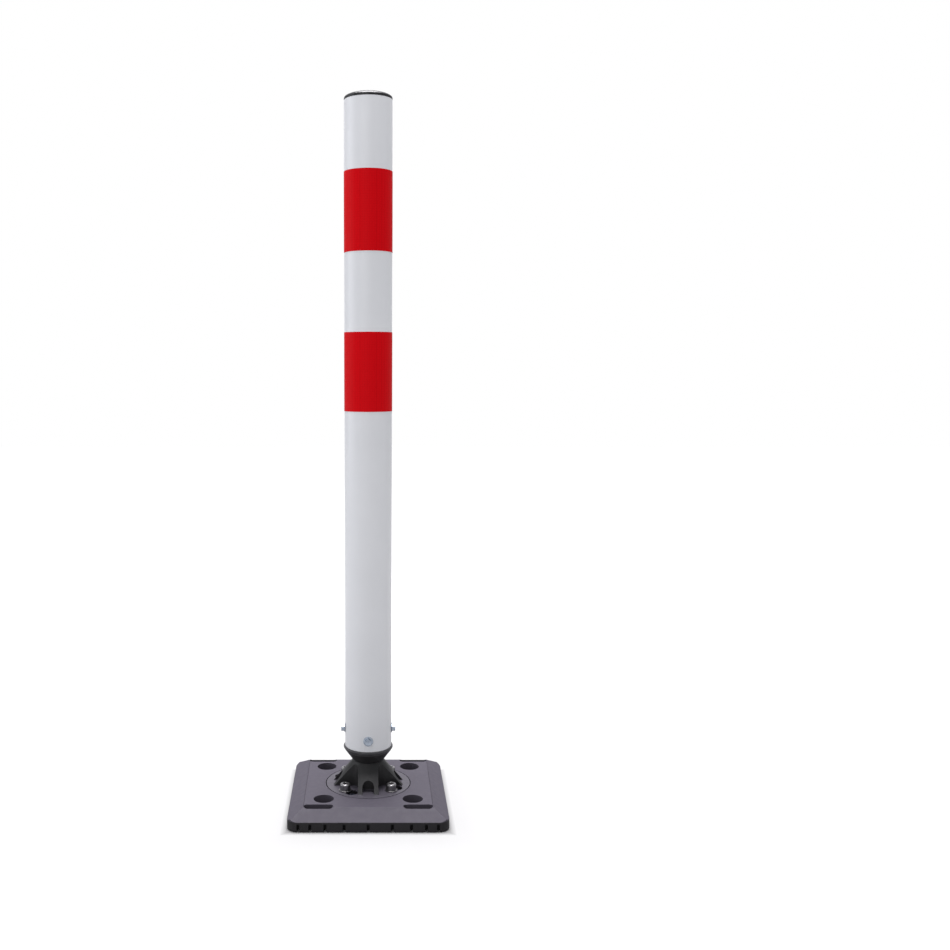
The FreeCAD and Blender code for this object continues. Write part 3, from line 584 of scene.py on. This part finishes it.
def place_copy(piece, name, x, y, z, turn=0.0):
    """A copy of piece with its own mesh, turned about Z and moved into place."""
    copy = bpy.data.objects.new(name, piece.data.copy())
    copy.data.name = name
    bpy.context.scene.collection.objects.link(copy)
    copy.rotation_euler = (0, 0, turn)
    copy.location = (x, y, z)
    only(copy)
    bpy.ops.object.transform_apply(location=True, rotation=True)
    return copy


stainless = metal(
    "stainless_steel", base=(0.24, 0.235, 0.24), shade=(0.33, 0.325, 0.33), roughness=0.3,
    scratch=1500.0, stretch=(1, 1, 5),
)
zinc = metal(
    "zinc_plated_steel", base=(0.33, 0.39, 0.47), shade=(0.46, 0.51, 0.58), roughness=0.3,
    scratch=900.0,
)

HEAD_RADIUS = 6.5 * MM
HEAD_RISE = 8.0 * MM
SHANK_RADIUS = 4.0 * MM
SHANK_LENGTH = 25.0 * MM
SOCKET_FLATS = 6.0 * MM
SOCKET_DEPTH = 4.0 * MM
bolt_pattern = turned(
    "bolt_pattern",
    [
        (0.7 * SHANK_RADIUS, -SHANK_LENGTH),
        (SHANK_RADIUS, -SHANK_LENGTH + 1.2 * MM),
        (SHANK_RADIUS, 0.0),
        (HEAD_RADIUS - 0.4 * MM, 0.0),
        (HEAD_RADIUS, 0.4 * MM),
        (HEAD_RADIUS, HEAD_RISE - 2.0 * MM),
        (HEAD_RADIUS - 0.15 * MM, HEAD_RISE - 1.3 * MM),
        (HEAD_RADIUS - 0.55 * MM, HEAD_RISE - 0.65 * MM),
        (HEAD_RADIUS - 1.2 * MM, HEAD_RISE - 0.2 * MM),
        (HEAD_RADIUS - 2.0 * MM, HEAD_RISE),
    ],
    sides=64,
)
socket_radius = SOCKET_FLATS / math.sqrt(3)
combine(bolt_pattern, prism(6, socket_radius, 0, 0, HEAD_RISE - SOCKET_DEPTH, HEAD_RISE + 2 * MM))
countersink = turned(
    "countersink",
    [
        (socket_radius - 0.6 * MM, HEAD_RISE - 0.7 * MM),
        (socket_radius + 0.5 * MM, HEAD_RISE + 0.4 * MM),
    ],
    sides=48,
)
combine(bolt_pattern, countersink)
smooth(bolt_pattern, 35.0)

WASHER_RADIUS = 8.0 * MM
WASHER_HOLE = 4.5 * MM
WASHER_THICKNESS = 1.6 * MM
washer_pattern = turned(
    "washer_pattern",
    [
        (WASHER_HOLE, 0.0),
        (WASHER_RADIUS, 0.0),
        (WASHER_RADIUS, WASHER_THICKNESS),
        (WASHER_HOLE, WASHER_THICKNESS),
        (WASHER_HOLE, 0.0),
    ],
    sides=64,
)
round_edges(washer_pattern, 0.3 * MM)
smooth(washer_pattern)

CORNER_TURNS = {"front_left": 0.3, "front_right": 0.9, "rear_left": 0.1, "rear_right": 0.6}
for corner, turn in CORNER_TURNS.items():
    low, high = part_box(f"foot_washer_{corner}")
    x, y = (low.x + high.x) / 2, (low.y + high.y) / 2
    washer = place_copy(washer_pattern, f"washer_{corner}", x, y, low.z, turn)
    finish_piece(washer, stainless, "stainless", f"foot_washer_{corner}")
    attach(washer, "root")
    bolt = place_copy(bolt_pattern, f"bolt_{corner}", x, y, high.z, turn)
    finish_piece(bolt, stainless, "stainless", f"foot_bolt_{corner}")
    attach(bolt, "root")
bpy.data.objects.remove(bolt_pattern)
bpy.data.objects.remove(washer_pattern)

# ---------------------------------------------------------------- steel inside
# Nuts, the ring under the flange, and the stud plates, washers and nuts that hold the neck.
# They are bought-in zinc-plated parts that nobody sees once the post is together.

for node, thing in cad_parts.items():
    if any(word in node for word in ("nut", "stud", "ring")):
        thing.data.materials.clear()
        thing.data.materials.append(zinc)

# ---------------------------------------------------------------- elastomer neck
# An inverted polyurethane cone between the pedestal's waist and the tube's adapter, moulded
# round a steel stud plate at each end. It bends with the foot.

neck_low, neck_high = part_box("flex_neck")
lower_disc_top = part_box("lower_stud_plate")[1].z
DISC_THICKNESS = 2.5 * MM
upper_disc_low = neck_high.z - DISC_THICKNESS
NECK_TOP_RADIUS = neck_high.x
DISC_FIT = 0.1 * MM
LOWER_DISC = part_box("lower_stud_plate")[1].x + DISC_FIT
UPPER_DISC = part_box("upper_stud_plate")[1].x + DISC_FIT
NECK_LAYERS = 12
EDGE = 0.5 * MM
slope = (NECK_TOP_RADIUS - WAIST_RADIUS) / (neck_high.z - neck_low.z)
neck_rings = [(0.5 * MM, lower_disc_top), (LOWER_DISC, lower_disc_top), (LOWER_DISC, neck_low.z)]
neck_rings += [(WAIST_RADIUS - EDGE, neck_low.z)]
for layer in range(NECK_LAYERS + 1):
    z = neck_low.z + EDGE + (neck_high.z - neck_low.z - 2 * EDGE) * layer / NECK_LAYERS
    neck_rings.append((WAIST_RADIUS + slope * (z - neck_low.z), z))
neck_rings += [
    (NECK_TOP_RADIUS - EDGE, neck_high.z),
    (UPPER_DISC, neck_high.z),
    (UPPER_DISC, upper_disc_low),
    (0.5 * MM, upper_disc_low),
]
neck = turned("neck_moulding", neck_rings)
smooth(neck)
finish_piece(neck, foot_rubber, "foot_elastomer", "flex_neck")
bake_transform(neck)

# ---------------------------------------------------------------- tube adapter
# A rigid black moulding: its flared lip carries the tube, and its spigot stands inside it,
# thick enough for the screws to bite.

plug_low, plug_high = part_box("tube_plug")
tube_low, tube_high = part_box("post_tube")
TUBE_RADIUS = 30.0 * MM
TUBE_WALL = 2.0 * MM
SPIGOT_RADIUS = TUBE_RADIUS - TUBE_WALL - 0.3 * MM
SPIGOT_BORE = 18.0 * MM
FLOOR_Z = plug_low.z + 13.2 * MM
LIP_RADIUS = plug_high.x
plug = turned(
    "tube_adapter",
    [
        (STUD_HOLE, plug_low.z),
        (NECK_TOP_RADIUS - 0.4 * MM, plug_low.z),
        (NECK_TOP_RADIUS + 0.3 * MM, plug_low.z + 0.5 * MM),
        (LIP_RADIUS - 0.25 * MM, plug_low.z + 2.9 * MM),
        (LIP_RADIUS, plug_low.z + 3.5 * MM),
        (LIP_RADIUS, tube_low.z - 0.7 * MM),
        (LIP_RADIUS - 0.15 * MM, tube_low.z - 0.3 * MM),
        (LIP_RADIUS - 0.5 * MM, tube_low.z),
        (SPIGOT_RADIUS, tube_low.z),
        (SPIGOT_RADIUS, plug_high.z - 1.5 * MM),
        (SPIGOT_RADIUS - 1.5 * MM, plug_high.z),
        (SPIGOT_BORE, plug_high.z),
        (SPIGOT_BORE, FLOOR_Z),
        (STUD_HOLE, FLOOR_Z),
        (STUD_HOLE, plug_low.z),
    ],
    sides=128,
)
smooth(plug)
adapter_plastic = moulded_black(
    "adapter_plastic",
    dark=(0.032, 0.032, 0.034),
    light=(0.041, 0.041, 0.045),
    roughness=0.36,
    grain=2400.0,
    relief=0.015 * MM,
)
finish_piece(plug, adapter_plastic, "plug_plastic", "tube_plug")
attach(plug, "post")

# ---------------------------------------------------------------- tube
# Steel tube, 60 mm outside with a 2 mm wall, powder coated white: a slightly wavy satin
# coat with the faint texture that the powder leaves.

RIM = 0.5 * MM
inner = TUBE_RADIUS - TUBE_WALL
tube = turned(
    "tube_coated",
    [
        (inner + RIM, tube_low.z),
        (TUBE_RADIUS - RIM, tube_low.z),
        (TUBE_RADIUS, tube_low.z + RIM),
        (TUBE_RADIUS, tube_high.z - RIM),
        (TUBE_RADIUS - RIM, tube_high.z),
        (inner + RIM, tube_high.z),
        (inner, tube_high.z - RIM),
        (inner, tube_low.z + RIM),
        (inner + RIM, tube_low.z),
    ],
    sides=160,
)
smooth(tube, 50.0)
white_coat, tree, shader = node_material("white_powder_coat")
cloud = spread(tree, noise(tree, 14.0, 4.0), 0.0, 1.0)
tree.links.new(
    blend_colours(tree, cloud, (0.685, 0.695, 0.72), (0.715, 0.725, 0.75)), shader.inputs["Base Color"]
)
tree.links.new(spread(tree, noise(tree, 220.0, 3.0), 0.3, 0.4), shader.inputs["Roughness"])
bump(tree, shader, noise(tree, 420.0, 2.0), 0.02 * MM)
bump(tree, shader, noise(tree, 2200.0, 1.0), 0.008 * MM)
finish_piece(tube, white_coat, "tube_paint", "post_tube")
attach(tube, "post")

# ---------------------------------------------------------------- reflective bands
# Two sleeves of red retroreflective film, wrapped round the tube and butted at the back.
# The film's beads are sealed in a honeycomb of fine welds under a clear glossy face.

red_film, tree, shader = node_material("red_reflective_film")
place = tree.nodes.new("ShaderNodeTexCoord")
cells = tree.nodes.new("ShaderNodeTexVoronoi")
cells.feature = "DISTANCE_TO_EDGE"
cells.inputs["Scale"].default_value = 330.0
cells.inputs["Randomness"].default_value = 0.12
tree.links.new(place.outputs["Object"], cells.inputs["Vector"])
weld = spread(tree, cells.outputs["Distance"], 0.0, 1.0, 0.02, 0.1)
tree.links.new(
    blend_colours(tree, weld, (0.53, 0.001, 0.004), (0.6, 0.0012, 0.005)), shader.inputs["Base Color"]
)
tree.links.new(spread(tree, noise(tree, 90.0, 3.0), 0.4, 0.5), shader.inputs["Roughness"])
shader.inputs["Specular IOR Level"].default_value = 0.05
bump(tree, shader, weld, 0.01 * MM)
bump(tree, shader, noise(tree, 60.0, 2.0), 0.05 * MM)

FILM = 0.3 * MM
FILM_FIT = 0.02 * MM
for band in ("upper_band", "lower_band"):
    low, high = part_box(band)
    inside = TUBE_RADIUS + FILM_FIT
    soft = 0.12 * MM
    sleeve = turned(
        band + "_film",
        [
            (inside, low.z),
            (inside + FILM - soft, low.z),
            (inside + FILM, low.z + soft),
            (inside + FILM, high.z - soft),
            (inside + FILM - soft, high.z),
            (inside, high.z),
            (inside, low.z),
        ],
        sides=160,
    )
    smooth(sleeve, 50.0)
    finish_piece(sleeve, red_film, "red_film", band)
    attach(sleeve, "post")

# ---------------------------------------------------------------- end cap
# A domed black plastic cap whose spigot is pressed into the tube's open end.

cap_low, cap_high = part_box("end_cap")
rim_z = tube_high.z
DOME = cap_high.z - rim_z
CAP_EDGE = 2.0 * MM
SPIGOT_OUT = inner - 0.5 * MM
SPIGOT_IN = SPIGOT_OUT - 2.5 * MM
BARB = 0.46 * MM
cap_rings = [
    (0.4 * MM, rim_z + 1.5 * MM),
    (SPIGOT_IN, rim_z + 1.5 * MM),
    (SPIGOT_IN, cap_low.z),
    (SPIGOT_OUT - 1 * MM, cap_low.z),
    (SPIGOT_OUT, cap_low.z + 1 * MM),
    (SPIGOT_OUT, cap_low.z + 3 * MM),
    (SPIGOT_OUT + BARB, cap_low.z + 6 * MM),
    (SPIGOT_OUT, cap_low.z + 6 * MM),
    (SPIGOT_OUT, rim_z),
    (TUBE_RADIUS - 0.3 * MM, rim_z),
    (TUBE_RADIUS, rim_z + 0.3 * MM),
    (TUBE_RADIUS, rim_z + CAP_EDGE - 0.4 * MM),
]
DOME_STEPS = 22
for step in range(DOME_STEPS):
    turn = math.pi / 2 * step / DOME_STEPS
    cap_rings.append(
        (TUBE_RADIUS * math.cos(turn), rim_z + CAP_EDGE + (DOME - CAP_EDGE) * math.sin(turn))
    )
cap = turned("end_cap_moulding", cap_rings, sides=160)
smooth(cap)
cap_plastic = moulded_black(
    "cap_plastic",
    dark=(0.01, 0.01, 0.011),
    light=(0.014, 0.014, 0.016),
    roughness=0.34,
    grain=2600.0,
    relief=0.012 * MM,
    specular=0.4,
)
finish_piece(cap, cap_plastic, "cap_plastic", "end_cap")
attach(cap, "post")

# ---------------------------------------------------------------- tube screws
# Four zinc-plated self-drilling screws with a hex washer head go through the tube into the
# adapter: front and back low down, left and right a little higher.

SKIRT_RADIUS = 6.3 * MM
SKIRT = 1.0 * MM
HEX_FLATS = 8.0 * MM
HEX_HEIGHT = 4.2 * MM
SCREW_RADIUS = 2.75 * MM
SCREW_LENGTH = 16.0 * MM
screw_pattern = turned(
    "screw_pattern",
    [
        (0.4 * MM, -SCREW_LENGTH),
        (SCREW_RADIUS * 0.9, -SCREW_LENGTH + 4 * MM),
        (SCREW_RADIUS, -SCREW_LENGTH + 5 * MM),
        (SCREW_RADIUS, 0.0),
        (SKIRT_RADIUS - 0.2 * MM, 0.0),
        (SKIRT_RADIUS, 0.25 * MM),
        (SKIRT_RADIUS - 0.15 * MM, 0.6 * MM),
        (HEX_FLATS / 2 + 0.6 * MM, SKIRT),
        (HEX_FLATS / 3, SKIRT),
    ],
    sides=48,
)
smooth(screw_pattern, 35.0)

hex_radius = HEX_FLATS / math.sqrt(3)
hex_head = prism(6, hex_radius, 0, 0, SKIRT - 0.2 * MM, SKIRT + HEX_HEIGHT)
chamfer = turned(
    "chamfer",
    [
        (0.4 * MM, -1 * MM),
        (HEX_FLATS, -1 * MM),
        (HEX_FLATS, SKIRT + HEX_HEIGHT - 2.3 * MM),
        (HEX_FLATS / 2 - 0.1 * MM, SKIRT + HEX_HEIGHT),
        (0.4 * MM, SKIRT + HEX_HEIGHT - 0.5 * MM),
    ],
    sides=48,
)
combine(hex_head, chamfer, "INTERSECT")
round_edges(hex_head, 0.15 * MM, segments=2)
smooth(hex_head, 35.0)
join([screw_pattern, hex_head])

SCREW_DIRECTIONS = {"front": (0, -1), "back": (0, 1), "left": (-1, 0), "right": (1, 0)}
for side, (x_side, y_side) in SCREW_DIRECTIONS.items():
    low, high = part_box(f"tube_screw_{side}")
    outward = Vector((x_side, y_side, 0))
    screw = bpy.data.objects.new(f"screw_{side}", screw_pattern.data.copy())
    bpy.context.scene.collection.objects.link(screw)
    screw.rotation_euler = outward.to_track_quat("Z", "Y").to_euler()
    screw.location = outward * TUBE_RADIUS + Vector((0, 0, (low.z + high.z) / 2))
    only(screw)
    bpy.ops.object.transform_apply(location=True, rotation=True)
    finish_piece(screw, zinc, "zinc_screw", f"tube_screw_{side}")
    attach(screw, "post")
bpy.data.objects.remove(screw_pattern)
